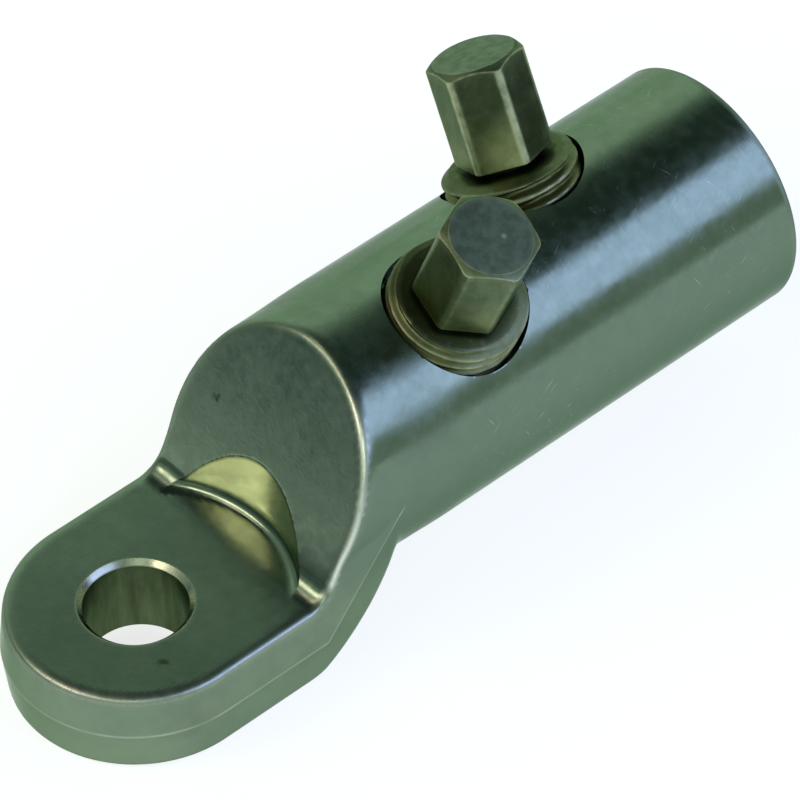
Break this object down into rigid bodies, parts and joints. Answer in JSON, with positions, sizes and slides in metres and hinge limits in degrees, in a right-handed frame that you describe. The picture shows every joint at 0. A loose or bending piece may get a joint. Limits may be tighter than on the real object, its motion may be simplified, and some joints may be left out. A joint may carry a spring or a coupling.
{
  "type": "mechanical cable lug",
  "caption": "Tubular mechanical cable lug: blind barrel with tilted shear-head clamping bolts, sloped shoulder with washer recess, flat palm with stud hole.",
  "frame": {"origin": "centre of the palm hole, at mid thickness of the palm", "axes": "+X along the barrel towards its open end, +Z out of the palm's upper face"},
  "size_m": [0.0905, 0.0297, 0.0424],
  "materials": {
    "tinned_body": "tin-plated, forged shoulder, turned barrel",
    "tinned_bolt": "tin-plated, machined"
  },
  "bodies": {
    "lug": {"lug_body": "tinned_body"},
    "front_bolt": {"front_shear_bolt": "tinned_bolt"},
    "rear_bolt": {"rear_shear_bolt": "tinned_bolt"}
  },
  "joints": [
    {"name": "front_bolt_travel", "type": "slide", "parent": "lug", "child": "front_bolt", "axis": [0, -0.3746, 0.9272], "range_m": [-0.0085, 0.0032]},
    {"name": "rear_bolt_travel", "type": "slide", "parent": "lug", "child": "rear_bolt", "axis": [0, 0.4147, 0.91], "range_m": [-0.0085, 0.0032]}
  ]
}
